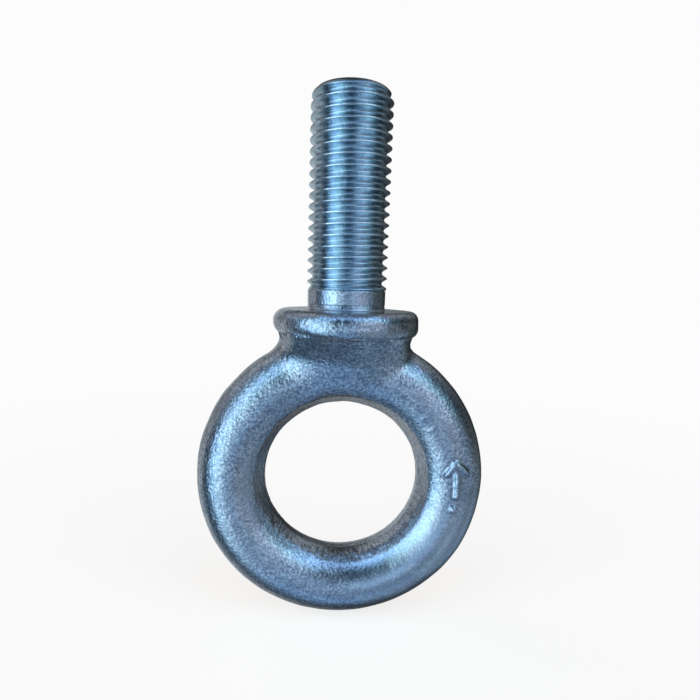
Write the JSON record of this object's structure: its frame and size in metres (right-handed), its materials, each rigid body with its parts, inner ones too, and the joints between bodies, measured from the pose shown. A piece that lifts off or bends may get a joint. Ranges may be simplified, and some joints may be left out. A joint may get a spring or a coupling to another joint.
{
  "type": "shoulder eye bolt",
  "caption": "Forged shoulder eye bolt: a round lifting eye on a short neck, a flat-seated shoulder collar and a right-hand coarse-threaded shank, zinc plated.",
  "frame": {"origin": "centre of the shoulder's bearing face, on the shank axis", "axes": "+Z along the shank towards its tip, +Y along the axis of the eye, +X across the eye"},
  "size_m": [0.0817, 0.0402, 0.1456],
  "materials": {
    "forged_zinc": "blue-bright zinc plate over a grainy as-forged skin",
    "rolled_zinc": "blue-bright zinc plate over a smooth rolled thread"
  },
  "bodies": {
    "root": {"eye": "forged_zinc", "collar": "forged_zinc", "plain_shank": "forged_zinc", "threaded_shank": "rolled_zinc"}
  },
  "joints": []
}
